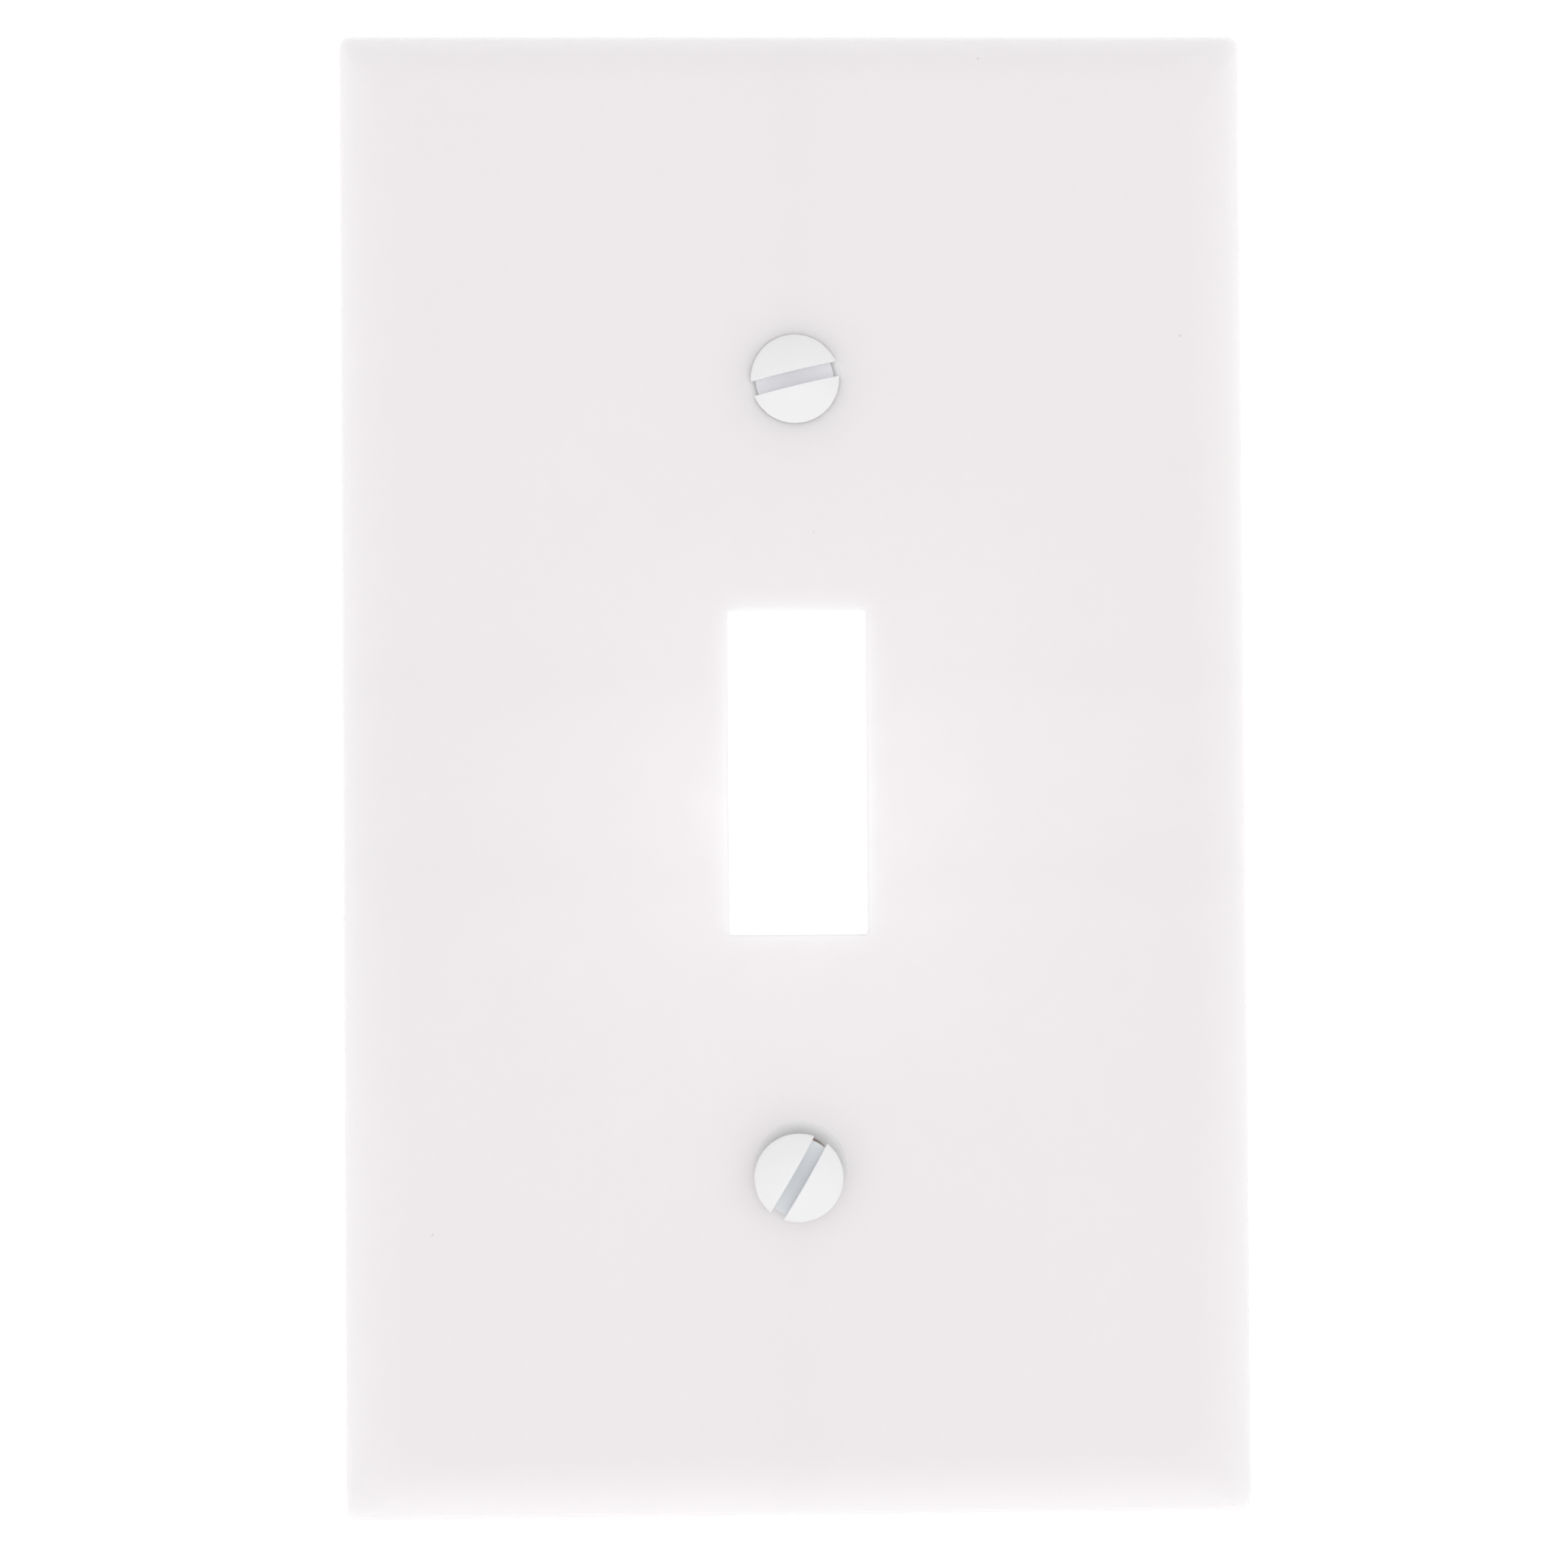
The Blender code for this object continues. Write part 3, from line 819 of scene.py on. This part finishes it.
top_joint_out = -joints["top_screw_turn"]["pos_m"][1]
top_head = PLATE_DEPTH + TOP_HEAD_PROUD - top_joint_out
top_disc = -BOSS_REAR - TOP_RETAINER_SLACK - top_joint_out
build_screw("top", top_head, TOP_SLOT_ANGLE, top_disc)

low_axis = Vector(joints["bottom_screw_turn"]["axis"]).normalized()
low_joint_out = -joints["bottom_screw_turn"]["pos_m"][1]
low_head = (PLATE_DEPTH + BOTTOM_HEAD_PROUD - low_joint_out) / -low_axis.y
build_screw("bottom", low_head, BOTTOM_SLOT_ANGLE, 0.0)

# Floor, light and camera

FLOOR_Z = cad_low.z - 0.03
FLOOR_HALF_WIDTH = 3.0
floor_mesh = bpy.data.meshes.new("floor")
bm = bmesh.new()
bmesh.ops.create_grid(bm, x_segments=24, y_segments=24, size=FLOOR_HALF_WIDTH)
bmesh.ops.translate(bm, vec=(0, 0, FLOOR_Z), verts=bm.verts)
bm.to_mesh(floor_mesh)
bm.free()
floor = new_object("floor", floor_mesh)
floor.data.materials.append(pale_floor())

# Directions, each with the light's level against it and along it
WORLD_LEVELS = (
    ((0, 1, 0), 0.86, 1.15),
    ((1, 0, 0), -0.02, 0.02),
    ((0, 0, 1), 0.03, -0.03),
)
LEVEL_START = -0.35
LEVEL_END = 0.45
LIGHT_PLACE = (0.018, -0.40, 0.0039)
LIGHT_TARGET = (0, 0, -0.002)
LIGHT_SIZE = 0.03
LIGHT_POWER = 0.03


def build_world():
    """Even white light, a little dimmer in front of the plate, above it and to its left."""
    world = bpy.data.worlds.new("soft_studio")
    world.use_nodes = True
    tree = world.node_tree
    place = tree.nodes.new("ShaderNodeTexCoord")
    level = None
    for direction, low, high in WORLD_LEVELS:
        along = tree.nodes.new("ShaderNodeVectorMath")
        along.operation = "DOT_PRODUCT"
        along.inputs[1].default_value = direction
        tree.links.new(place.outputs["Generated"], along.inputs[0])
        share = tree.nodes.new("ShaderNodeMapRange")
        share.interpolation_type = "SMOOTHSTEP"
        share.inputs["From Min"].default_value = LEVEL_START
        share.inputs["From Max"].default_value = LEVEL_END
        share.inputs["To Min"].default_value = low
        share.inputs["To Max"].default_value = high
        tree.links.new(along.outputs["Value"], share.inputs["Value"])
        if level is None:
            level = share.outputs["Result"]
        else:
            total = tree.nodes.new("ShaderNodeMath")
            tree.links.new(level, total.inputs[0])
            tree.links.new(share.outputs["Result"], total.inputs[1])
            level = total.outputs["Value"]
    background = tree.nodes["Background"]
    background.inputs["Color"].default_value = (1.0, 1.0, 1.0, 1.0)
    tree.links.new(level, background.inputs["Strength"])
    scene.world = world


def area_light(name, location, target, size, power):
    data = bpy.data.lights.new(name, "AREA")
    data.shape = "DISK"
    data.size = size
    data.energy = power
    item = bpy.data.objects.new(name, data)
    item.location = location
    away = Vector(location) - Vector(target)
    item.rotation_euler = away.to_track_quat("Z", "Y").to_euler()
    item.visible_camera = False
    scene.collection.objects.link(item)


build_world()
area_light("front_soft", LIGHT_PLACE, LIGHT_TARGET, LIGHT_SIZE, LIGHT_POWER)

CAMERA_PLACE = (-0.0180, -0.400, -0.0099)
CAMERA_YAW = math.radians(-2.46)
CAMERA_PITCH = math.radians(1.31)
CAMERA_ROLL = math.radians(-0.41)
FOCAL_LENGTH = 3.294  # as a share of the sensor's width
camera_data = bpy.data.cameras.new("camera")
camera_data.sensor_width = 36.0
camera_data.lens = 36.0 * FOCAL_LENGTH
camera_data.clip_start = 0.01
camera_data.clip_end = 20.0
camera = bpy.data.objects.new("camera", camera_data)
camera.location = CAMERA_PLACE
turn = Matrix.Rotation(CAMERA_YAW, 3, "Z") @ Matrix.Rotation(math.pi / 2 + CAMERA_PITCH, 3, "X")
camera.rotation_euler = (turn @ Matrix.Rotation(CAMERA_ROLL, 3, "Z")).to_euler()
scene.collection.objects.link(camera)
scene.camera = camera

scene.view_settings.view_transform = "Standard"
scene.view_settings.look = "None"
scene.view_settings.exposure = 0.0
scene.view_settings.gamma = 1.0
